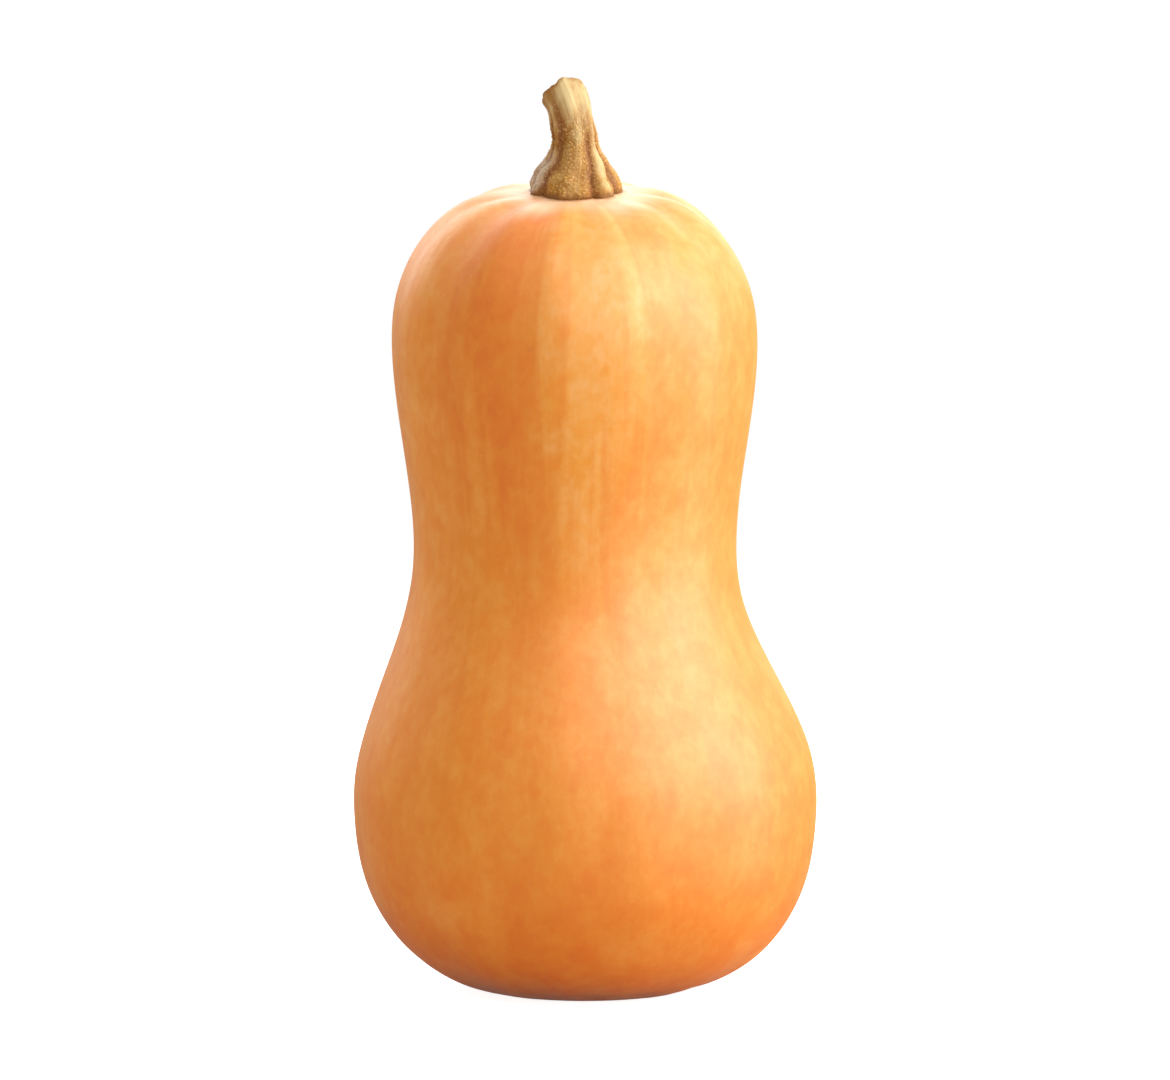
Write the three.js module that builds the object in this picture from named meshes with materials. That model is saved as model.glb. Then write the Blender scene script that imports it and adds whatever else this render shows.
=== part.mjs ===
import * as THREE from 'three';

// A butternut squash as picked, standing on its blossom end: the fruit, whose long neck
// leans a little forwards, and the dry grooved stem on its crown. Millimetres, +Z up.
// The origin is on the ground under the middle of the bulb, and -Y is the front.
// Every angle round the squash is in degrees from the front, growing towards +X.

const { degToRad, euclideanModulo, lerp, radToDeg, smoothstep } = THREE.MathUtils;

// Fruit
const bulbRadius = 60.5;
const waistRadius = 41;
const shoulderRadius = 48.5;
const crownHeight = 207.2;
const footRadius = 20; // outer edge of the flat ring that the squash stands on
const scarRadius = 8.5; // inner edge of that ring, round the dimple of the blossom scar
const scarDepth = 2;
const seatRadius = 12.5; // of the flat seat of the stem on the crown

// Radius and height of the rind from foot to seat; the outline runs smoothly past these
const rindOutline = [
  [footRadius, 0],
  [30, 0],
  [47, 8.5],
  [58, 26],
  [bulbRadius, 43],
  [bulbRadius, 62],
  [47.5, 89],
  [waistRadius, 107.5],
  [43, 133],
  [47, 155],
  [shoulderRadius, 180],
  [38.5, 198.3],
  [26.5, 206.3],
  [16.5, 207.5],
  [seatRadius, crownHeight],
];

// The neck stands a little to the left of the bulb and leans towards the front
const neckShift = { across: -2.6, from: 60, to: 105 };
const neckBend = { angle: 9, towards: 0, from: 90, to: crownHeight };

// Furrows that run down from the stem: the angle of each, and its share of the depth.
// They are deep on the crown, faint down the neck, and show again under the bulb.
const furrows = [
  [-150, 0.9], [-114, 1], [-80, 0.8], [-48, 1], [-18, 0.6], [5, 0.9],
  [28, 0.6], [63, 1], [97, 0.8], [134, 1], [172, 0.8],
];
const furrowHalfWidth = 15;
const furrowDepth = { crown: 1.1, neck: 0.25, bulb: 0.45 };
const furrowFade = { crownFrom: 140, crownTo: 200, bulbFrom: 95, bulbTo: 40, rim: 10 };

// Stem
const stemHeight = 25.8; // at the middle of the cut end
const stemGap = 0.3; // between the stem's underside and its seat
const flareTop = 12; // height of the flared base
const cutSlant = { angle: 26, from: 14 }; // the cut end faces away from the front
const cutDish = 0.7;

// Radius and height of the stem's ridges, from its underside to its cut end
const stemOutline = [
  [10, 0],
  [11.4, 0.4],
  [12.3, 2.6],
  [11.3, 5],
  [8.2, 8],
  [6.2, 11.5],
  [5.8, 15],
  [5.6, 19],
  [5.7, 22.5],
  [6.3, 25.2],
  [5.9, stemHeight],
];

// Grooves up the stem: the angle of each, and how far the ridge after it stands out.
// Their depth is a share of the stem's radius, and they are deepest at the base.
const grooves = [
  { angle: -128, reach: 0.8 }, { angle: -80, reach: 0.8 }, { angle: -52, reach: 1.2 },
  { angle: 25, reach: 1 }, { angle: 66, reach: 1.1 }, { angle: 122, reach: 1 },
  { angle: 176, reach: 0.9 },
];
const grooveDepth = { base: 0.2, shaft: 0.14, cut: 0.08 };
const ridgeFullness = 0.6; // below 1 the ridges are round and the grooves sharp

// The stem turns a little about its own axis as it rises, and bends to the left and back
const stemTwist = { angle: 16, to: 15 };
const stemBend = { angle: 26, towards: -122, from: 10, to: stemHeight };

// Facets
const rindSegments = 72;
const rindRings = 44;
const scarRings = 4;
const stemSegments = 49;
const stemRings = 24;

// A cubic B-spline that starts and ends on the first and last of its points
class Outline extends THREE.Curve {
  constructor(points) {
    super();
    const list = points.map(([radius, height]) => new THREE.Vector2(radius, height));
    const beyond = (end, next) => end.clone().multiplyScalar(2).sub(next);
    this.points = [beyond(list[0], list[1]), ...list, beyond(list.at(-1), list.at(-2))];
  }

  getPoint(t, target = new THREE.Vector2()) {
    const spans = this.points.length - 3;
    const span = Math.min(Math.floor(t * spans), spans - 1);
    const u = t * spans - span;
    const weights = [
      (1 - u) ** 3 / 6,
      (3 * u ** 3 - 6 * u ** 2 + 4) / 6,
      (-3 * u ** 3 + 3 * u ** 2 + 3 * u + 1) / 6,
      u ** 3 / 6,
    ];
    target.set(0, 0);
    weights.forEach((weight, i) => target.addScaledVector(this.points[span + i], weight));
    return target;
  }
}

// A lathed body with +Z up, each of whose vertices is then moved by the function `shape`
function lathe(outline, segments, shape) {
  const geometry = new THREE.LatheGeometry(outline, segments);
  geometry.rotateX(Math.PI / 2);
  const position = geometry.getAttribute('position');
  const normal = geometry.getAttribute('normal');
  const point = new THREE.Vector3();
  const outward = new THREE.Vector3();
  for (let i = 0; i < position.count; i += 1) {
    point.fromBufferAttribute(position, i);
    outward.fromBufferAttribute(normal, i);
    shape(point, radToDeg(Math.atan2(point.x, -point.y)), outward);
    position.setXYZ(i, point.x, point.y, point.z);
  }
  geometry.computeVertexNormals();
  return geometry;
}

// Bends what stands above the height `from` over an arc, which leans by `angle` at `to`
function bendOver(point, { angle, towards, from, to }) {
  const radius = (to - from) / degToRad(angle);
  const lean = Math.max(0, point.z - from) / radius;
  const around = degToRad(towards);
  const middle = new THREE.Vector3(
    Math.sin(around) * radius * (1 - Math.cos(lean)),
    -Math.cos(around) * radius * (1 - Math.cos(lean)),
    Math.min(point.z, from) + radius * Math.sin(lean),
  );
  const axis = new THREE.Vector3(Math.cos(around), Math.sin(around), 0);
  point.setZ(0).applyAxisAngle(axis, lean).add(middle);
}

// A point of the upright fruit, moved to where the shifted and leaning neck has it
function placeOnNeck(point) {
  point.x += neckShift.across * smoothstep(point.z, neckShift.from, neckShift.to);
  bendOver(point, neckBend);
}

// How far the rind sinks into a furrow; the flat foot and the flat seat have none
function furrowAt(around, radius, height) {
  let share = 0;
  for (const [angle, part] of furrows) {
    const turn = euclideanModulo(around - angle + 180, 360) - 180;
    const off = Math.min(1, Math.abs(turn) / furrowHalfWidth);
    share += part * Math.cos((off * Math.PI) / 2) ** 2;
  }
  const onCrown = smoothstep(height, furrowFade.crownFrom, furrowFade.crownTo);
  const onBulb = 1 - smoothstep(height, furrowFade.bulbTo, furrowFade.bulbFrom);
  const upper = lerp(furrowDepth.neck, furrowDepth.crown, onCrown);
  const flat = height > neckBend.from ? seatRadius : footRadius;
  const rim = smoothstep(radius, flat, flat + furrowFade.rim);
  return share * rim * lerp(upper, furrowDepth.bulb, onBulb);
}

// 0 in a groove of the stem and about 1 on the ridge between two grooves
function ridgeAt(around) {
  const first = grooves[0].angle;
  const turn = first + euclideanModulo(around - first, 360);
  const i = grooves.findLastIndex(({ angle }) => angle <= turn);
  const { angle, reach } = grooves[i];
  const next = i + 1 < grooves.length ? grooves[i + 1].angle : first + 360;
  return reach * Math.sin(((turn - angle) / (next - angle)) * Math.PI) ** ridgeFullness;
}

function makeFruit() {
  const outline = [];
  for (let i = 0; i < scarRings; i += 1) {
    const part = i / scarRings;
    const height = (scarDepth * (1 + Math.cos(part * Math.PI))) / 2;
    outline.push(new THREE.Vector2(scarRadius * part, height));
  }
  outline.push(new THREE.Vector2(scarRadius, 0));
  outline.push(...new Outline(rindOutline).getSpacedPoints(rindRings));
  outline.push(new THREE.Vector2(0, crownHeight));

  const geometry = lathe(outline, rindSegments, (point, around, outward) => {
    const radius = Math.hypot(point.x, point.y);
    point.addScaledVector(outward, -furrowAt(around, radius, point.z));
    placeOnNeck(point);
  });
  const rind = new THREE.MeshStandardMaterial({ color: 0xe8964a, roughness: 0.42, metalness: 0 });
  const fruit = new THREE.Mesh(geometry, rind);
  fruit.name = 'fruit';
  return fruit;
}

function makeStem() {
  const cutRadius = stemOutline.at(-1)[0];
  const outline = [
    new THREE.Vector2(0, 0),
    ...new Outline(stemOutline).getSpacedPoints(stemRings),
    new THREE.Vector2(cutRadius / 2, stemHeight - cutDish),
    new THREE.Vector2(0, stemHeight - cutDish),
  ];

  const upwards = new THREE.Vector3(0, 0, 1);
  const geometry = lathe(outline, stemSegments, (point, around) => {
    const height = point.z;
    const onBase = 1 - smoothstep(height, 0, flareTop);
    const onCut = smoothstep(height, cutSlant.from, stemHeight);
    const upper = lerp(grooveDepth.shaft, grooveDepth.cut, onCut);
    const slim = 1 - lerp(upper, grooveDepth.base, onBase) * (1 - ridgeAt(around));
    const twist = degToRad(stemTwist.angle) * smoothstep(height, 0, stemTwist.to);
    point.multiply(new THREE.Vector3(slim, slim, 1)).applyAxisAngle(upwards, twist);
    point.z -= point.y * Math.tan(degToRad(cutSlant.angle)) * onCut;
    bendOver(point, stemBend);
  });
  const dryStem = new THREE.MeshStandardMaterial({ color: 0xc2a05e, roughness: 0.8, metalness: 0 });
  const stem = new THREE.Mesh(geometry, dryStem);
  stem.name = 'stem';
  return stem;
}

// The stem stands square on its seat, which leans with the crown
const seat = new THREE.Group();
seat.position.z = crownHeight + stemGap;
placeOnNeck(seat.position);
seat.rotation.x = degToRad(neckBend.angle);
seat.add(makeStem());

const squash = new THREE.Group();
squash.name = 'butternut_squash';
squash.add(makeFruit(), seat);

export default squash;
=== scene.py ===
import math

import bpy
import numpy as np
from mathutils import Matrix, Vector, noise


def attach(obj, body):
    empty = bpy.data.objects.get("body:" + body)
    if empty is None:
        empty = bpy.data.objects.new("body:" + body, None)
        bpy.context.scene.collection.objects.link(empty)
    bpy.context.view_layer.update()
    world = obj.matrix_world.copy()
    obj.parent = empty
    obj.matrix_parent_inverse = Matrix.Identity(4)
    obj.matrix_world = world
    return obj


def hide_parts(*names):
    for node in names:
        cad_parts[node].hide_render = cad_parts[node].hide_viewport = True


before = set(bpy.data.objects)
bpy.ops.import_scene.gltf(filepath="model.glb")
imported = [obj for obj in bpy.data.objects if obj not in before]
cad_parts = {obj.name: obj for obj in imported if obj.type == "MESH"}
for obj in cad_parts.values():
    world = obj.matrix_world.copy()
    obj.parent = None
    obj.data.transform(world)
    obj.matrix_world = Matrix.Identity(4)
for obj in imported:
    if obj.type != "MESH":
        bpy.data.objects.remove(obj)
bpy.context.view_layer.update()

# A butternut squash as picked, standing on its blossom end. The fruit and its stem are shaped
# in millimetres and turned into metres when their meshes are made. +Z is up and -Y the front.
# Every angle round the squash is in degrees from the front, growing towards +X.
mm = 0.001


# From 0 at `low` to 1 at `high`, held beyond them; `low` may be the greater of the two
def smoothstep(value, low, high):
    part = np.clip((value - low) / (high - low), 0, 1)
    return part * part * (3 - 2 * part)


def between(low, high, part):
    return low + (high - low) * part


# 1 at nought, falling smoothly to almost nothing twice the width away
def bell(value, width):
    return np.exp(-((value / width) ** 2))


# Soft noise from about -1 to 1, in lumps `size` across and `tall` times as high
def lumpsOver(points, size, tall=1, seed=0):
    scaled = points / (size * np.array([1, 1, tall])) + seed
    return np.array([noise.noise(point) for point in scaled.tolist()])


# Round pebbles packed over a surface: 1 on top of each and 0 in the cracks between them
def pebblesOver(points, size, crack):
    near = [noise.voronoi(point)[0][:2] for point in (points / size).tolist()]
    first, second = np.array(near).T
    return smoothstep(second - first, 0, crack)


# Even steps along a cubic B-spline that starts and ends on the first and last of its points
def runSmoothly(points, steps, fineness=40):
    knots = np.array(points, float)
    knots = np.vstack([2 * knots[0] - knots[1], knots, 2 * knots[-1] - knots[-2]])
    spans = len(knots) - 3
    at = np.linspace(0, spans, fineness * steps)
    span = np.minimum(at.astype(int), spans - 1)
    u = (at - span)[:, None]
    curve = (1 - u) ** 3 * knots[span] + (3 * u**3 - 6 * u**2 + 4) * knots[span + 1]
    curve += (3 * u + 3 * u**2 - 3 * u**3 + 1) * knots[span + 2] + u**3 * knots[span + 3]
    curve /= 6
    length = np.append(0, np.cumsum(np.hypot(*np.diff(curve, axis=0).T)))
    even = np.linspace(0, length[-1], steps + 1)
    return np.column_stack([np.interp(even, length, curve[:, i]) for i in (0, 1)])


# Bends what stands above the height `start` over an arc, which leans by `angle` at `end`
def bendOver(points, angle, towards, start, end):
    radius = (end - start) / math.radians(angle)
    lean = np.maximum(0, points[:, 2] - start) / radius
    sine, cosine = math.sin(math.radians(towards)), math.cos(math.radians(towards))
    forward = points[:, 0] * sine - points[:, 1] * cosine
    side = points[:, 0] * cosine + points[:, 1] * sine
    height = np.minimum(points[:, 2], start) + (radius - forward) * np.sin(lean)
    forward = forward * np.cos(lean) + radius * (1 - np.cos(lean))
    across = forward * sine + side * cosine
    deep = side * sine - forward * cosine
    return np.column_stack([across, deep, height])


# The points of a body turned about Z, from a profile of radii and heights that starts and ends
# on the axis: for each point its radius, height, angle, and the profile's outward direction
def turnRound(profile, turns):
    slope = np.gradient(profile, axis=0)
    outward = np.column_stack([slope[:, 1], -slope[:, 0]])
    outward /= np.maximum(np.hypot(*outward.T), 1e-9)[:, None]

    def spread(column):
        return np.concatenate([column[:1], np.repeat(column[1:-1], turns), column[-1:]])

    angles = np.arange(turns) * 360 / turns - 180
    around = np.concatenate([[0], np.tile(angles, len(profile) - 2), [0]])
    radius, height = spread(profile[:, 0]), spread(profile[:, 1])
    return radius, height, around, spread(outward[:, 0]), spread(outward[:, 1])


# Unit directions across the ground, for angles in radians
def headingOf(angle):
    return np.column_stack([np.sin(angle), -np.cos(angle)])


# The closed mesh over such points, in metres, with what each point carries for its material
def makeSkin(name, points, turns, carried):
    rows = (len(points) - 2) // turns
    here = 1 + np.arange(rows * turns).reshape(rows, turns)
    beside = np.roll(here, -1, axis=1)
    quads = np.stack([here[:-1], beside[:-1], beside[1:], here[1:]], axis=-1).reshape(-1, 4)
    lowest, highest = np.zeros(turns, int), np.full(turns, len(points) - 1)
    bottom = np.column_stack([lowest, beside[0], here[0]])
    top = np.column_stack([highest, here[-1], beside[-1]])
    mesh = bpy.data.meshes.new(name)
    mesh.from_pydata((points * mm).tolist(), [], bottom.tolist() + quads.tolist() + top.tolist())
    mesh.shade_smooth()
    for word, values in carried.items():
        kind, field = ("FLOAT_VECTOR", "vector") if values.ndim == 2 else ("FLOAT", "value")
        mesh.attributes.new(word, kind, "POINT").data.foreach_set(field, values.ravel())
    piece = bpy.data.objects.new(name, mesh)
    bpy.context.collection.objects.link(piece)
    print(f"{name}: {len(mesh.polygons)} faces")
    return piece


# The stem, in millimetres from the middle of its underside. A fade is the pair of heights, or
# of shares of the way in over the cut end, between which something comes in or dies away.
stemShape = {
    "height": 25.8,  # at the middle of the cut end
    "gap": 0.3,  # from the seat on the crown up to the underside
    "sink": 1.3,  # how far the edge of the underside goes down into the rind
    "sinkTop": 2.4,  # the height above which nothing of the edge is drawn down
    "underRings": (0, 5, 8.5),
    "outline": [
        (11, 0), (12, 0.3), (12.2, 1.8), (10.9, 4.4), (8.2, 7.8), (6.2, 11.5),
        (5.8, 15), (5.6, 19), (5.7, 22.5), (6.3, 25.2), (5.9, 25.8),
    ],
    "grooves": [
        (-128, 0.8), (-84, 0.8), (-52, 1.2), (25, 1), (66, 1.1), (122, 1), (176, 0.9),
    ],  # the angle of each, and how far the ridge after it stands out
    "grooveDepth": {"base": 0.14, "shaft": 0.13, "cut": 0.08},  # as shares of the radius
    "ridgeFullness": {"base": 0.8, "shaft": 1.3},  # above 1 the grooves are wide and round
    "fading": {"at": 25, "width": 24, "fade": (11, 17), "share": 0.8},  # this groove ends half way up
    "flareTop": 12,
    "slant": {"angle": 26, "start": 14},
    "twist": {"angle": 16, "end": 15},
    "bend": {"angle": 26, "towards": -122, "start": 10, "end": 25.8},
    "waver": {"angle": 9, "size": 6},  # how the grooves wander as they rise
    "crease": {"depth": 0.12, "width": 0.9, "fade": (7, 13)},  # along the bottom of each groove
    "fibres": {"depth": 0.07, "size": 0.7, "tall": 7, "lost": 0.5},  # lost: among the pebbles
    "ribs": {"depth": 0.28, "size": 2.6, "tall": 4},
    "knobs": {"depth": 0.7, "size": 3.2, "fade": (2, 9)},  # on the flared base
    "pebbles": {"depth": 0.26, "size": 0.8, "crack": 0.6, "level": 0.6, "fade": (15, 21), "uneven": 3},
    "patches": {"size": 4.2, "tall": 1.8, "span": (-0.35, 0.2), "least": 0.65},  # of weaker pebbles
    "bare": {"at": 46, "width": 13, "fade": (8, 16), "share": 0.8},  # a strip with few pebbles
    "lumps": {"depth": 0.5, "size": 5},
    "barkEnd": 0.2,  # how far in over the cut the bark's relief dies away
    "rim": {"round": 0.45, "width": 0.35, "below": 1.4, "fade": (0.25, 0.5)},
    "ragged": {"depth": 0.35, "size": 1.5},
    "notch": {"depth": 0.5, "at": -20, "width": 11},
    "dish": {"depth": 0.7, "fade": (0.08, 0.45)},
    "pith": {"depth": 1.1, "radius": 0.9},
    "bundles": {"count": 13, "ring": 0.64, "depth": 0.3, "width": 0.42},
    "fluff": {"depth": 0.12, "size": 0.5, "fade": (0.1, 0.3)},
    "footStainAndShade": (-0.3, 3.2),
    "turns": 288,
    "rowsUp": 212,
    "rowsIn": 44,
}


# 0 in a groove of the stem and about 1 on the ridge between two grooves, and the way to the
# nearest groove in degrees
def ridgeAt(around, height):
    angles, reaches = np.array(stemShape["grooves"], float).T
    turn = angles[0] + (around - angles[0]) % 360
    last = np.searchsorted(angles, turn, side="right") - 1
    start, end = angles[last], np.append(angles, angles[0] + 360)[last + 1]
    swell = np.sin((turn - start) / (end - start) * math.pi).clip(0, 1)
    fullness, fading = stemShape["ridgeFullness"], stemShape["fading"]
    rise = smoothstep(height, 0, stemShape["flareTop"])
    ridge = reaches[last] * swell ** between(fullness["base"], fullness["shaft"], rise)
    filled = bell(around - fading["at"], fading["width"]) * smoothstep(height, *fading["fade"])
    return between(ridge, 1, fading["share"] * filled), np.minimum(turn - start, end - turn)


# How much narrower than the outline the stem is at each angle and height
def slimAt(around, height):
    depth = stemShape["grooveDepth"]
    onBase = 1 - smoothstep(height, 0, stemShape["flareTop"])
    onCut = smoothstep(height, stemShape["slant"]["start"], stemShape["height"])
    upper = between(depth["shaft"], depth["cut"], onCut)
    return 1 - between(upper, depth["base"], onBase) * (1 - ridgeAt(around, height)[0])


# The fruit, in millimetres. A fade is the pair of radii, or of distances from the stem, between
# which something comes in or dies away.
fruitShape = {
    "outline": [
        (20, 0), (30, 0), (47, 8.5), (58, 26), (60.5, 43), (60.5, 62), (47.5, 89), (41, 107.5),
        (43, 133), (47, 155), (48.5, 180), (38.5, 198.3), (26.5, 206.3), (16.5, 207.5), (12.5, 207.2),
    ],
    "crownHeight": 207.2,
    "foot": {"radius": 20, "firstRing": 9.3, "ringStep": 0.9, "height": 1, "fade": (6, 9)},
    "seat": {"radius": 12.5, "fade": (11, 10)},
    "neckShift": {"across": -2.6, "start": 60, "end": 105},
    "neckBend": {"angle": 9, "towards": 0, "start": 90, "end": 207.2},
    "furrows": [
        (-150, 0.9), (-114, 1), (-80, 0.8), (-48, 1), (-18, 0.6), (5, 0.9),
        (28, 0.6), (63, 1), (97, 0.8), (134, 1), (172, 0.8),
    ],  # the angle of each, and its share of the depth
    "furrowHalfWidth": 15,
    "furrowDepth": {"crown": 0.75, "neck": 0.2, "bulb": 0.45},
    "furrowFade": {"crownFrom": 140, "crownTo": 200, "bulbFrom": 95, "bulbTo": 40, "rim": 10},
    "lumps": [(34, 1.3, 0.45), (12, 1.6, 0.14), (4.5, 2, 0.035)],  # size, times as tall, depth
    "collar": {
        "radius": 11.6, "rise": 0.75, "top": 0.4, "width": 1.5, "tuck": 0.3, "under": -0.9, "reach": 24,
    },  # where the rind meets the stem
    "scar": {"radius": 8.5, "depth": 2},
    "wrinkles": {"depth": 0.16, "size": 1.1, "across": 9, "along": 0.16, "reach": 17},
    "button": {"rise": 0.7, "fade": (2.5, 3.5), "nub": 0.5, "nubWidth": 0.8},
    "cork": {"depth": 0.14, "size": 1.3, "fade": (3, 7)},
    "stains": {
        "furrow": (12, 24), "scar": (3, 13), "button": (2.6, 4.2), "nearStem": (0, 23), "crease": (0.3, 1.6),
    },  # the fades of what the material colours
    "turns": 336,
    "rowsOnScar": 26,
    "rowsUp": 205,
    "rowsOnSeat": 24,
}


# A point of the upright fruit, moved to where the shifted and leaning neck has it
def placeOnNeck(points):
    shift = fruitShape["neckShift"]
    across = shift["across"] * smoothstep(points[:, 2], shift["start"], shift["end"])
    return bendOver(points + np.outer(across, (1, 0, 0)), **fruitShape["neckBend"])


# How far the rind sinks into a furrow, and how near the middle of a furrow each point is
def furrowAt(around, radius, height):
    share = np.zeros(len(around))
    for angle, part in fruitShape["furrows"]:
        turn = (around - angle + 180) % 360 - 180
        off = np.minimum(1, np.abs(turn) / fruitShape["furrowHalfWidth"])
        share += part * np.cos(off * math.pi / 2) ** 2
    fade, depth = fruitShape["furrowFade"], fruitShape["furrowDepth"]
    onCrown = smoothstep(height, fade["crownFrom"], fade["crownTo"])
    onBulb = 1 - smoothstep(height, fade["bulbTo"], fade["bulbFrom"])
    upper = between(depth["neck"], depth["crown"], onCrown)
    isTop = height > fruitShape["neckBend"]["start"]
    flat = np.where(isTop, fruitShape["seat"]["radius"], fruitShape["foot"]["radius"])
    rim = smoothstep(radius, flat, flat + fade["rim"])
    return share * rim * between(upper, depth["bulb"], onBulb), share


def makeFruit():
    shape, foot, scar = fruitShape, fruitShape["foot"], fruitShape["scar"]
    inside = np.linspace(0, 1, shape["rowsOnScar"])[:-1]
    deep = scar["depth"] * (1 + np.cos(inside * math.pi)) / 2
    dimple = np.column_stack([scar["radius"] * inside, deep])
    rings = [scar["radius"], *np.arange(foot["firstRing"], foot["radius"], foot["ringStep"])]
    rind = runSmoothly(shape["outline"], shape["rowsUp"])
    seat = np.linspace(shape["seat"]["radius"], 0, shape["rowsOnSeat"])[1:]
    seat = np.column_stack([seat, np.full(len(seat), shape["crownHeight"])])
    profile = np.vstack([dimple, [(ring, 0) for ring in rings], rind, seat])
    radius, height, around, outAcross, outUp = turnRound(profile, shape["turns"])
    upper = height > shape["neckBend"]["start"]
    heading = headingOf(np.radians(around))
    upright = np.column_stack([heading * radius[:, None], height])

    # Everything here pushes the surface in, so that the squash keeps inside its solid
    furrow, share = furrowAt(around, radius, height)
    push = furrow.copy()
    for i, (size, tall, depth) in enumerate(shape["lumps"]):
        push += depth * (0.5 + 0.5 * lumpsOver(upright, size, tall, seed=7.3 * i))
    onFoot = ~upper * smoothstep(height, foot["height"], 0) * smoothstep(radius, *foot["fade"])
    push *= 1 - onFoot  # the ring that it stands on stays flat
    wrinkles = shape["wrinkles"]
    onScar = 1 - smoothstep(radius, scar["radius"], wrinkles["reach"])
    onScar[upper] = 0
    outwards = np.column_stack([heading * wrinkles["across"], radius * wrinkles["along"]])
    push += wrinkles["depth"] * onScar * (0.5 + lumpsOver(outwards, wrinkles["size"]))
    push *= 1 - smoothstep(radius, *shape["seat"]["fade"]) * upper

    # The corky button in the dimple, with its nub
    button, cork = shape["button"], shape["cork"]
    rise = button["rise"] * (1 - smoothstep(radius, *button["fade"]))
    rise += button["nub"] * bell(radius, button["nubWidth"])
    rise += lumpsOver(upright, cork["size"]) * cork["depth"] * (1 - smoothstep(radius, *cork["fade"]))
    push[~upper] += rise[~upper]

    # The rind swells up to the stem and tucks in under it
    collar = shape["collar"]
    beyond = radius - collar["radius"] * slimAt(around, np.zeros(len(around)))
    swell = collar["rise"] * bell(np.maximum(0, beyond - collar["top"]), collar["width"])
    tucked = between(swell, -collar["tuck"], smoothstep(beyond, collar["top"], collar["under"]))
    swell = np.where(beyond < collar["top"], tucked, swell)
    push[upper] -= swell[upper] * (radius[upper] < collar["reach"])

    across = radius - push * outAcross
    points = np.column_stack([heading * across[:, None], height - push * outUp])
    points[~upper, 2] = np.maximum(points[~upper, 2], 0)  # nothing goes below the foot
    stains = shape["stains"]
    carried = {
        "grow": np.column_stack([heading, height / shape["crownHeight"]]),
        "furrow": share * smoothstep(radius, *stains["furrow"]),
        "scar": np.where(upper, 0, 1 - smoothstep(radius, *stains["scar"])),
        "button": np.where(upper, 0, 1 - smoothstep(radius, *stains["button"])),
        "nearStem": np.where(upper, 1 - smoothstep(beyond, *stains["nearStem"]), 0),
        "crease": np.where(upper, 1 - smoothstep(beyond, *stains["crease"]), 0),
    }
    return makeSkin("fruitRind", placeOnNeck(points), shape["turns"], carried)


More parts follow.
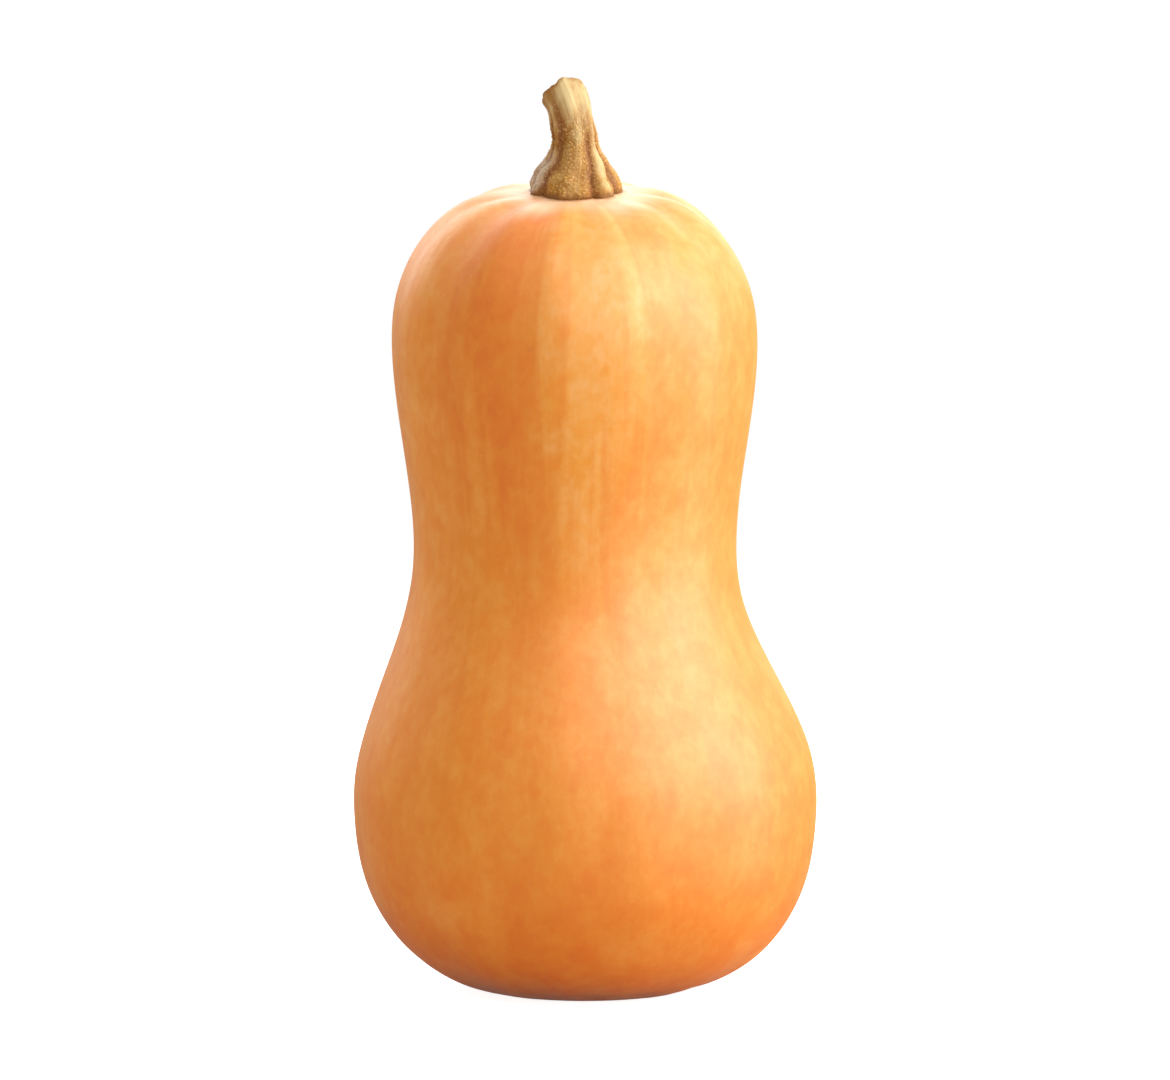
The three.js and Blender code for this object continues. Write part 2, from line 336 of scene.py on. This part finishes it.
def makeStem():
    shape, dish = stemShape, stemShape["dish"]
    side = runSmoothly(shape["outline"], shape["rowsUp"])
    side[:, 1] -= shape["sink"] * (1 - smoothstep(side[:, 1], 0, shape["sinkTop"]))
    under = np.array([(ring, -shape["sink"]) for ring in shape["underRings"]])
    cutRadius = side[-1, 0]
    part = np.linspace(1, 0, shape["rowsIn"])[1:]
    sunk = dish["depth"] * smoothstep(1 - part, *dish["fade"])
    cut = np.column_stack([cutRadius * part, shape["height"] - sunk])
    profile = np.vstack([under, side, cut])
    radius, height, around, outAcross, outUp = turnRound(profile, shape["turns"])
    rowsBetween = np.repeat(np.arange(1, len(profile) - 1), shape["turns"])
    rowOf = np.concatenate([[0], rowsBetween, [len(profile) - 1]])
    onFace = rowOf >= len(under) + len(side)
    inward = np.where(onFace, 1 - radius / cutRadius, 0)  # 0 at the rim and 1 at the middle
    angle = np.radians(around)
    heading = headingOf(angle)
    upright = np.column_stack([heading * radius[:, None], height])

    # The grooves wander, and everything that goes by the angle wanders with them
    waver = shape["waver"]
    byHeight = np.column_stack([np.zeros((len(height), 2)), height])
    around = around + waver["angle"] * lumpsOver(byHeight, waver["size"], seed=1.7)
    around = (around + 180) % 360 - 180
    ridge, toGroove = ridgeAt(around, height)

    # Relief of the bark, out from its surface
    fibres, ribs, knobs, lumps = (shape[word] for word in ("fibres", "ribs", "knobs", "lumps"))
    pebbles, patches, bareStrip, crease = (shape[word] for word in ("pebbles", "patches", "bare", "crease"))
    grain = lumpsOver(upright, fibres["size"], fibres["tall"])
    rib = lumpsOver(upright, ribs["size"], ribs["tall"], seed=3.1)
    knob = lumpsOver(upright, knobs["size"], seed=9.7)
    stones = pebblesOver(upright, pebbles["size"], pebbles["crack"])
    patchy = smoothstep(lumpsOver(upright, patches["size"], patches["tall"], seed=5.9), *patches["span"])
    stony = 1 - smoothstep(height + pebbles["uneven"] * rib, *pebbles["fade"])
    stony *= between(patches["least"], 1, patchy)
    bare = bell(around - bareStrip["at"], bareStrip["width"])
    bare *= 1 - smoothstep(height, *bareStrip["fade"])
    stony *= 1 - bareStrip["share"] * bare
    out = knobs["depth"] * knob * (1 - smoothstep(height, *knobs["fade"]))
    out += lumps["depth"] * lumpsOver(upright, lumps["size"], seed=12.1)
    out += ribs["depth"] * rib + fibres["depth"] * grain * (1 - fibres["lost"] * stony)
    out += pebbles["depth"] * (stones - pebbles["level"]) * stony
    line = bell(np.radians(toGroove) * radius, crease["width"])
    out -= crease["depth"] * line * (1 - smoothstep(height, *crease["fade"]))
    out *= 1 - smoothstep(inward, 0, shape["barkEnd"])

    # Relief of the cut face: a round ragged rim, a ring of bundles and the sunken pith
    rim, ragged, notch, fluff = (shape[word] for word in ("rim", "ragged", "notch", "fluff"))
    pith, bundles = shape["pith"], shape["bundles"]
    dips = np.cos(np.radians(around) * bundles["count"]) * 0.5 + 0.5
    ringAt = bell((radius / cutRadius - bundles["ring"]) * cutRadius, bundles["width"])
    raggedly = lumpsOver(upright, ragged["size"], seed=2.2) * ragged["depth"]
    notched = notch["depth"] * bell((around - notch["at"] + 180) % 360 - 180, notch["width"])
    nearRim = smoothstep(height, shape["height"] - rim["below"], shape["height"])
    up = nearRim * (1 - smoothstep(inward, *rim["fade"])) * (raggedly - notched)
    up -= rim["round"] * bell(inward * cutRadius, rim["width"]) * onFace
    up -= bundles["depth"] * dips * ringAt * onFace
    up += lumpsOver(upright, fluff["size"], seed=4.4) * fluff["depth"] * smoothstep(inward, *fluff["fade"])
    up -= pith["depth"] * bell(radius, pith["radius"]) * onFace

    # Grooved, twisted, cut on the slant and bent over
    across = radius * slimAt(around, height) + out * np.where(onFace, 1, np.maximum(outAcross, 0))
    tall = height + up + out * np.where(onFace, 0, outUp)
    twist = math.radians(shape["twist"]["angle"]) * smoothstep(height, 0, shape["twist"]["end"])
    points = np.column_stack([headingOf(angle + twist) * across[:, None], tall])
    onCut = smoothstep(height, shape["slant"]["start"], shape["height"])
    points[:, 2] -= points[:, 1] * math.tan(math.radians(shape["slant"]["angle"])) * onCut
    points = bendOver(points, **shape["bend"])

    # It stands square on its seat, which leans with the crown
    seat = placeOnNeck(np.array([[0, 0, fruitShape["crownHeight"] + shape["gap"]]]))[0]
    lean = Matrix.Rotation(math.radians(fruitShape["neckBend"]["angle"]), 3, "X")
    points = points @ np.array(lean).T + seat
    carried = {
        "grow": np.column_stack([heading, height / shape["height"]]),
        "groove": np.clip(1 - ridge, 0, 1),
        "stony": stony,
        "stones": stones,
        "bare": bare,
        "inward": inward,
        "bundles": dips * ringAt * onFace,
        "foot": 1 - smoothstep(height, *shape["footStainAndShade"]),
    }
    stem = makeSkin("stemBark", points, shape["turns"], carried)
    stem.data.materials.append(None)
    stem.data.materials.append(None)
    upperCorner = np.array([face.vertices[2] for face in stem.data.polygons])
    stem.data.polygons.foreach_set("material_index", onFace[upperCorner].astype(np.int32))
    return stem


# Materials. A colour is written as it looks on a screen, from 0 to 1.
def colour(red, green, blue):
    def toLinear(value):
        return value / 12.92 if value <= 0.04045 else ((value + 0.055) / 1.055) ** 2.4

    return (toLinear(red), toLinear(green), toLinear(blue), 1)


white = (1, 1, 1, 1)
noiseSpan = (0.3, 0.7)  # where most of a noise lies


def addNode(tree, kind, inputs=None, **settings):
    made = tree.nodes.new("ShaderNode" + kind)
    for word, value in settings.items():
        setattr(made, word, value)
    for word, value in (inputs or {}).items():
        if isinstance(value, bpy.types.NodeSocket):
            tree.links.new(value, made.inputs[word])
        else:
            made.inputs[word].default_value = value
    return made


def startMaterial(name):
    material = bpy.data.materials.new(name)
    material.use_nodes = True
    return material, material.node_tree, material.node_tree.nodes["Principled BSDF"]


def stretch(tree, vector, scale, shift=(0, 0, 0)):
    inputs = {"Vector": vector, "Location": shift, "Scale": scale}
    return addNode(tree, "Mapping", inputs).outputs["Vector"]


# A value carried from one range to another, held at its ends
def ranged(tree, value, low, high, newLow=0, newHigh=1):
    inputs = {"Value": value, "From Min": low, "From Max": high, "To Min": newLow, "To Max": newHigh}
    return addNode(tree, "MapRange", inputs, interpolation_type="SMOOTHSTEP").outputs["Result"]


def maths(tree, operation, first, second):
    return addNode(tree, "Math", {0: first, 1: second}, operation=operation).outputs[0]


def lengthOf(tree, vector):
    return addNode(tree, "VectorMath", {"Vector": vector}, operation="LENGTH").outputs["Value"]


# The second colour over the first; 0, 6 and 7 are the mix's own sockets for colours
def mixed(tree, part, first, second, blend="MIX"):
    inputs = {0: part, 6: first, 7: second}
    return addNode(tree, "Mix", inputs, data_type="RGBA", blend_type=blend).outputs[2]


# Colours along a value, from stops of (place, colour)
def graded(tree, value, stops):
    made = addNode(tree, "ValToRGB", {"Fac": value})
    ramp = made.color_ramp
    ramp.interpolation = "B_SPLINE"
    while len(ramp.elements) < len(stops):
        ramp.elements.new(0.5)
    for element, (place, shade) in zip(ramp.elements, stops):
        element.position = place
        element.color = shade
    return made.outputs["Color"]


def noiseIn(tree, vector, stretched=None, shift=(0, 0, 0), scale=1, detail=2, roughness=0.5):
    if stretched:
        vector = stretch(tree, vector, stretched, shift)
    inputs = {"Vector": vector, "Scale": scale, "Detail": detail, "Roughness": roughness}
    return addNode(tree, "TexNoise", inputs).outputs["Fac"]


# The patterns that a material is made of, by name: what the mesh's points carry, and noises.
# A noise lies over the place in the piece, or over `grow`: the heading round it and the height.
def startPatterns(tree, carried, noises):
    patterns = {"place": addNode(tree, "TexCoord").outputs["Object"]}
    for word in carried:
        made = addNode(tree, "Attribute", attribute_name=word)
        patterns[word] = made.outputs["Vector" if word == "grow" else "Fac"]
    if "grow" in carried:
        grow = addNode(tree, "SeparateXYZ", {"Vector": patterns["grow"]})
        patterns["side"], patterns["rise"] = grow.outputs["X"], grow.outputs["Z"]
    for word, (over, settings) in noises.items():
        patterns[word] = noiseIn(tree, patterns[over], **settings)
    return patterns


# One pattern made uneven by a noise, whose usual span is carried to `low` and `high`
def uneven(tree, patterns, word, noiseWord, low, high):
    ripple = ranged(tree, patterns[noiseWord], *noiseSpan, low, high)
    return maths(tree, "ADD", patterns[word], ripple)


# How strongly a layer shows. Each of its patterns has a range (from, to, least, most), or one
# number that it is multiplied by, and their shares are multiplied.
def shareOf(tree, patterns, where):
    share = None
    for word, span in where.items():
        part = patterns[word]
        if isinstance(span, tuple):
            part = ranged(tree, part, *span)
        elif span != 1:
            part = maths(tree, "MULTIPLY", part, span)
        share = part if share is None else maths(tree, "MULTIPLY", share, part)
    return share


# Layers of colour over one another: each is a tone of the finish, or a pattern, and where it is
def layered(tree, patterns, finish, shade, layers):
    for word, where in layers:
        tone = colour(*finish["tones"][word]) if word in finish["tones"] else patterns[word]
        shade = mixed(tree, shareOf(tree, patterns, where), shade, tone)
    return shade


# Fine relief that only the material draws: pattern, strength, and depth in metres
def roughen(tree, patterns, shader, bumps):
    normal = {}
    for word, strength, depth in bumps:
        inputs = {"Height": patterns[word], "Strength": strength, "Distance": depth, **normal}
        normal = {"Normal": addNode(tree, "Bump", inputs).outputs["Normal"]}
    tree.links.new(normal["Normal"], shader.inputs["Normal"])


rindFinish = {
    "heights": [
        (0.0, (0.865, 0.455, 0.02)), (0.1, (0.875, 0.485, 0.05)), (0.22, (0.895, 0.55, 0.13)),
        (0.45, (0.895, 0.57, 0.19)), (0.85, (0.90, 0.585, 0.21)), (1.0, (0.915, 0.61, 0.27)),
    ],  # deeper orange at the foot, partly the rind's own tint and partly painted shade of the underside; paler to the crown
    "tones": {
        "patch": (0.925, 0.61, 0.25),
        "darkBand": (0.88, 0.525, 0.15),
        "lightBand": (0.925, 0.63, 0.27),
        "deepFlush": (0.87, 0.48, 0.03),
        "paleFlush": (0.93, 0.67, 0.36),
        "pore": (0.97, 0.74, 0.46),
        "fleck": (0.68, 0.42, 0.19),
        "aroundStem": (0.97, 0.79, 0.62),
        "crease": (0.62, 0.40, 0.16),
        "cork": (0.70, 0.56, 0.36),
        "corkDark": (0.42, 0.29, 0.16),
    },
    "noises": {
        "patches": ("place", {"scale": 28}),
        "bands": ("grow", {"stretched": (2.6, 2.6, 0.9), "shift": (0.6, 0.2, 0)}),
        "streaks": ("grow", {"stretched": (13, 13, 3), "detail": 3}),
        "clouds": ("place", {"stretched": (1, 1, 0.7), "scale": 130, "detail": 4, "roughness": 0.62}),
        "mottles": ("place", {"stretched": (1, 1, 0.65), "scale": 420, "detail": 3, "roughness": 0.6}),
        "flecks": ("place", {"stretched": (1, 1, 0.6), "scale": 210, "detail": 1}),
        "corky": ("place", {"scale": 900, "detail": 3, "roughness": 0.7}),
        "dents": ("place", {"stretched": (1, 1, 0.6), "scale": 300, "detail": 3, "roughness": 0.55}),
        "grain": ("place", {"scale": 1500}),
    },
    "poreScale": 420,
    "upper": (0.2, 0.85, 0.15, 1),  # bands and streaks are strongest on the crown and neck
    # spots on the crown: a painted shade on the front-left and a painted highlight at the front
    "paintedSpots": {"paintedShadeSpot": (-0.42, -0.9, 0.95), "paintedHighlightSpot": (0.1, -1, 0.95)},  # middles in `grow`
    "paintedSpotTall": 0.75,
    "paintedSpotWaver": (-0.12, 0.12),
    "broad": [
        ("patch", {"patches": (0.45, 0.75, 0, 0.55)}),
        ("darkBand", {"bands": (0.5, 0.72, 0, 0.35), "upper": 1}),
        ("lightBand", {"bands": (0.46, 0.3, 0, 0.45), "upper": 1}),
        # deeper orange along the furrows: partly the rind's own tone, partly painted shade of the recess
        ("darkBand", {"furrow": 0.12}),
        ("darkBand", {"streaks": (0.5, 0.75, 0, 0.5), "upper": 1}),
        # painted shade on the front-left of the crown, painted highlight at its front
        ("deepFlush", {"paintedShadeSpot": (0.55, 0.08, 0, 0.85)}),
        ("paleFlush", {"paintedHighlightSpot": (0.45, 0.08, 0, 0.7)}),
    ],
    "mottled": {"clouds": (0.34, 0.66, 0, 0.9), "mottles": (0.34, 0.66, 0, 0.6)},
    "mottle": (0.97, 0.8, 0.12, 1),  # what the mottles leave of red, green and blue light
    "uneven": {
        "wavy": ("nearStem", "bands", 0.2, -0.25),
        "scarred": ("scar", "corky", -0.3, 0.1),
    },
    "grainyCork": [("corkDark", {"corky": (0.4, 0.7, 0, 1)})],
    "small": [
        ("pore", {"pores": (0.16, 0.06, 0, 0.12)}),
        ("fleck", {"flecks": (0.79, 0.88, 0, 0.35)}),
        ("aroundStem", {"wavy": (0.2, 1, 0, 0.85)}),
        # painted shade: a brown line in the crease where the rind meets the stem
        ("crease", {"crease": 1}),
        ("grainyCork", {"scarred": (0.3, 0.9, 0, 0.9)}),
        ("corkDark", {"button": 1}),
    ],
    "waxRoughness": (0.48, 0.53),
    "corkRoughness": (0.3, 0.9, 0, 0.35),  # added on the scar
    "refraction": 1.44,  # of the thin wax
    "bumps": [("dents", 0.5, 0.0002), ("grain", 0.5, 0.00002)],
}


def makeRindMaterial():
    finish = rindFinish
    material, tree, shader = startMaterial("rind")
    carried = ("grow", "furrow", "scar", "button", "nearStem", "crease")
    patterns = startPatterns(tree, carried, finish["noises"])
    pores = addNode(tree, "TexVoronoi", {"Vector": patterns["place"], "Scale": finish["poreScale"]})
    patterns["pores"] = pores.outputs["Distance"]
    patterns["upper"] = ranged(tree, patterns["rise"], *finish["upper"])

    # Patches, bands and streaks down from the stem, and on the crown a painted shade and a painted highlight
    tall = finish["paintedSpotTall"]
    for word, (across, deep, high) in finish["paintedSpots"].items():
        off = stretch(tree, patterns["grow"], (1, 1, tall), (-across, -deep, -tall * high))
        patterns[word] = lengthOf(tree, off)
        patterns[word] = uneven(tree, patterns, word, "streaks", *finish["paintedSpotWaver"])
    heights = [(at, colour(*tone)) for at, tone in finish["heights"]]
    shade = graded(tree, patterns["rise"], heights)
    shade = layered(tree, patterns, finish, shade, finish["broad"])

    # Clouds and mottles, a little taller than wide
    for word, span in finish["mottled"].items():
        part = ranged(tree, patterns[word], *span)
        shade = mixed(tree, part, shade, finish["mottle"], "MULTIPLY")

    # Pale pores and brown flecks, pale round the stem, a painted shade in the crease at the stem, corky at
    # the blossom scar
    for word, settings in finish["uneven"].items():
        patterns[word] = uneven(tree, patterns, *settings)
    cork = colour(*finish["tones"]["cork"])
    patterns["grainyCork"] = layered(tree, patterns, finish, cork, finish["grainyCork"])
    shade = layered(tree, patterns, finish, shade, finish["small"])
    tree.links.new(shade, shader.inputs["Base Color"])

    # Wax: a satin skin, a little uneven, dull on the cork
    wax = ranged(tree, patterns["clouds"], *noiseSpan, *finish["waxRoughness"])
    dull = ranged(tree, patterns["scarred"], *finish["corkRoughness"])
    tree.links.new(maths(tree, "ADD", wax, dull), shader.inputs["Roughness"])
    shader.inputs["IOR"].default_value = finish["refraction"]
    roughen(tree, patterns, shader, finish["bumps"])
    return material


barkFinish = {
    "tones": {
        "bark": (0.76, 0.63, 0.41),
        "pale": (0.84, 0.74, 0.52),
        "brown": (0.58, 0.37, 0.12),
        "groove": (0.50, 0.27, 0.06),
        "ochre": (0.72, 0.52, 0.19),
        "stoneTop": (0.84, 0.64, 0.29),
        "stoneGap": (0.60, 0.39, 0.10),
        "ash": (0.81, 0.73, 0.64),
        "foot": (0.50, 0.32, 0.12),
    },
    "noises": {
        "fibres": ("grow", {"stretched": (7, 7, 2.2), "detail": 4, "roughness": 0.6}),
        "blotches": ("place", {"stretched": (1, 1, 0.6), "scale": 300, "detail": 3, "roughness": 0.6}),
        "specks": ("place", {"scale": 1500, "detail": 3, "roughness": 0.65}),
        "worn": ("place", {"stretched": (1, 1, 0.5), "scale": 210}),
        "grit": ("place", {"scale": 3200, "detail": 3, "roughness": 0.7}),
    },
    "uneven": {
        "deep": ("groove", "blotches", -0.25, 0.2),
        "under": ("foot", "blotches", -0.2, 0.2),
        "end": ("rise", "blotches", -0.03, 0.02),
    },
    "grains": [
        ("stoneTop", {"stones": 1}),
        ("stoneGap", {"specks": (0.48, 0.6, 0, 0.95)}),
        ("pale", {"specks": (0.5, 0.3, 0, 0.5)}),
    ],  # granular skin: paler on each grain and red-brown between the grains
    "paintedGreyLeft": {
        "side": (-0.72, -0.94, 0, 1), "rise": (0.5, 0.25, 0, 0.75), "blotches": (0.66, 0.42, 0.4, 1),
    },  # painted shade with a grey reflection, low on the left
    "layers": [
        ("bark", {"rise": (0.3, 0.75, 0, 1)}),
        ("pale", {"groove": (0.3, 0, 0, 0.8), "rise": (0.2, 0.65, 0.3, 1)}),
        ("brown", {"fibres": (0.5, 0.8, 0, 0.35)}),
        ("pale", {"fibres": (0.48, 0.25, 0, 0.4)}),
        ("ochre", {"blotches": (0.48, 0.7, 0, 0.55)}),
        ("grains", {"stony": 1, "blotches": (0.32, 0.58, 0.45, 0.95)}),
        ("pale", {"bare": 1, "blotches": (0.6, 0.4, 0.1, 0.75)}),
        # painted shade with a grey reflection, low on the left of the base
        ("ash", {"paintedGreyLeft": 1}),
        # browner in the grooves: partly the bark's own colour, partly painted shade
        ("groove", {
            "deep": (0.15, 0.8, 0, 0.85), "rise": (1, 0.7, 0.4, 1),
            "specks": (0.36, 0.48, 0.35, 1), "paintedGreyLeft": (0, 0.7, 1, 0.4),
        }),
        ("brown", {"worn": (0.48, 0.68, 0, 0.4)}),
        ("brown", {"side": (-0.2, -0.8, 0, 1), "rise": (0.8, 0.98, 0, 0.6)}),
        # brown at the foot of the stem where it meets the rind: partly its own colour, partly painted shade
        ("foot", {"under": (0.25, 1, 0, 0.9)}),
        ("brown", {"end": (0.95, 1.0, 0, 0.7)}),
    ],  # over the ochre of the flared base
    "roughness": (0.62, 0.85),
    "refraction": 1.3,
    "bumps": [("fibres", 0.6, 0.0002), ("grit", 0.5, 0.00008)],
}


def makeBarkMaterial():
    finish = barkFinish
    material, tree, shader = startMaterial("stemBark")
    carried = ("grow", "groove", "stony", "stones", "bare", "foot")
    patterns = startPatterns(tree, carried, finish["noises"])
    for word, settings in finish["uneven"].items():
        patterns[word] = uneven(tree, patterns, *settings)
    gap = colour(*finish["tones"]["stoneGap"])
    patterns["grains"] = layered(tree, patterns, finish, gap, finish["grains"])
    patterns["paintedGreyLeft"] = shareOf(tree, patterns, finish["paintedGreyLeft"])
    ochre = colour(*finish["tones"]["ochre"])
    shade = layered(tree, patterns, finish, ochre, finish["layers"])
    tree.links.new(shade, shader.inputs["Base Color"])
    dry = ranged(tree, patterns["fibres"], *noiseSpan, *finish["roughness"])
    tree.links.new(dry, shader.inputs["Roughness"])
    shader.inputs["IOR"].default_value = finish["refraction"]
    roughen(tree, patterns, shader, finish["bumps"])
    return material


cutFinish = {
    "tones": {
        "cut": (0.80, 0.68, 0.46),
        "cutDark": (0.45, 0.32, 0.17),
        "brown": (0.58, 0.37, 0.12),
        "pith": (0.33, 0.22, 0.12),
    },
    "noises": {"fluff": ("place", {"scale": 1400, "detail": 4, "roughness": 0.7})},
    "layers": [
        ("cutDark", {"fluff": (0.35, 0.7, 0, 1)}),
        ("brown", {"inward": (0.16, 0.02, 0, 0.9)}),
        ("brown", {"bundles": 0.9}),
        ("pith", {"inward": (0.72, 0.95, 0, 1)}),
    ],
    "roughness": (0.75, 0.95),
    "bumps": [("fluff", 0.8, 0.0003)],
}


def makeCutMaterial():
    finish = cutFinish
    material, tree, shader = startMaterial("stemCut")
    patterns = startPatterns(tree, ("inward", "bundles"), finish["noises"])
    cut = colour(*finish["tones"]["cut"])
    shade = layered(tree, patterns, finish, cut, finish["layers"])
    tree.links.new(shade, shader.inputs["Base Color"])
    dry = ranged(tree, patterns["fluff"], *noiseSpan, *finish["roughness"])
    tree.links.new(dry, shader.inputs["Roughness"])
    roughen(tree, patterns, shader, finish["bumps"])
    return material


fruit = makeFruit()
fruit.data.materials.append(makeRindMaterial())
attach(fruit, "root")
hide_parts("fruit")

stem = makeStem()
stem.data.materials[0] = makeBarkMaterial()
stem.data.materials[1] = makeCutMaterial()
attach(stem, "root")
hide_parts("stem")
print("squash done")

# The studio, in metres. A light is at an angle round the squash, an angle above the floor and a
# distance; a mirrored one is only seen in the shine, and the others only throw light.
studio = {
    "floor": {"radius": 1.6, "fade": (0.5, 1.5), "sides": 96, "tone": (0.82, 0.82, 0.82), "roughness": 0.9},
    "floorGlow": 0.9,
    "surround": {"light": 0.785, "gloss": 0.4, "seen": 1},  # how bright the white room is
    "lights": {
        "key": {"at": (86, 30, 1.5), "size": (2.0, 1.9), "watts": 38, "mirrored": False},
        "panel": {"at": (67, 10, 1.5), "size": (2.6, 2.8), "watts": 135, "mirrored": True},
        "spill": {"at": (42, 58, 1.5), "size": (2.0, 1.8), "watts": 42, "mirrored": True},
        "behind": {"at": (-162, 38, 1.6), "size": (1.8, 1.5), "watts": 12, "mirrored": False},
        "screen": {"at": (-172, 34, 1.6), "size": (3.2, 1.4), "watts": 44, "mirrored": True},
    },
    "aim": (0, 0, 0.11),
    "camera": {"aim": (0, 0, 0.1166), "elevation": 5, "distance": 2.0, "lens": 238.4, "sensor": 36},
}


def makeFloor():
    look = studio["floor"]
    bpy.ops.mesh.primitive_circle_add(vertices=look["sides"], radius=look["radius"], fill_type="NGON")
    floor = bpy.context.object
    floor.name = "floor"
    material, tree, shader = startMaterial("floor")
    shader.inputs["Base Color"].default_value = colour(*look["tone"])
    shader.inputs["Roughness"].default_value = look["roughness"]

    # It looks white to the camera but throws less light up, and it fades out far away
    seen = addNode(tree, "LightPath").outputs["Is Camera Ray"]
    glow = maths(tree, "MULTIPLY", seen, studio["floorGlow"])
    shader.inputs["Emission Color"].default_value = white
    tree.links.new(glow, shader.inputs["Emission Strength"])
    away = lengthOf(tree, addNode(tree, "TexCoord").outputs["Object"])
    clear = addNode(tree, "BsdfTransparent").outputs["BSDF"]
    inputs = {0: ranged(tree, away, *look["fade"]), 1: shader.outputs["BSDF"], 2: clear}
    end = addNode(tree, "MixShader", inputs).outputs["Shader"]
    tree.links.new(end, tree.nodes["Material Output"].inputs["Surface"])
    floor.data.materials.append(material)
    floor.visible_glossy = False  # the rind mirrors the room and not the floor


# A place at an angle round the squash, an angle above the floor and a distance from `aim`, and
# the turn that makes a light or a camera there look at `aim`
def placeAt(aim, around, above, distance):
    turn, lift = math.radians(around), math.radians(above)
    flat = math.cos(lift)
    away = Vector((math.sin(turn) * flat, -math.cos(turn) * flat, math.sin(lift)))
    return Vector(aim) + distance * away, away.to_track_quat("Z", "Y").to_euler()


def makeLights():
    for name, light in studio["lights"].items():
        lamp = bpy.data.lights.new(name, "AREA")
        lamp.shape = "RECTANGLE"
        lamp.size, lamp.size_y = light["size"]
        lamp.energy = light["watts"]
        box = bpy.data.objects.new(name, lamp)
        box.location, box.rotation_euler = placeAt(studio["aim"], *light["at"])
        box.visible_diffuse = not light["mirrored"]
        box.visible_glossy = light["mirrored"]
        bpy.context.collection.objects.link(box)


# A white room, darker where it is mirrored and white where it is seen
def makeRoom():
    world = bpy.data.worlds.new("whiteRoom")
    bpy.context.scene.world = world
    world.use_nodes = True
    tree, room = world.node_tree, studio["surround"]
    ray = addNode(tree, "LightPath")
    strength = room["light"]
    for word, level in (("Is Glossy Ray", room["gloss"]), ("Is Camera Ray", room["seen"])):
        inputs = {"Value": ray.outputs[word], "To Min": strength, "To Max": level}
        strength = addNode(tree, "MapRange", inputs).outputs["Result"]
    back = tree.nodes["Background"]
    back.inputs["Color"].default_value = white
    tree.links.new(strength, back.inputs["Strength"])


def makeCamera():
    view = studio["camera"]
    lens = bpy.data.cameras.new("camera")
    lens.sensor_width = view["sensor"]
    lens.lens = view["lens"]
    camera = bpy.data.objects.new("camera", lens)
    camera.location, camera.rotation_euler = placeAt(view["aim"], 0, view["elevation"], view["distance"])
    bpy.context.collection.objects.link(camera)
    bpy.context.scene.camera = camera


makeFloor()
makeLights()
makeRoom()
makeCamera()
bpy.context.scene.view_settings.view_transform = "Standard"
print("studio done")
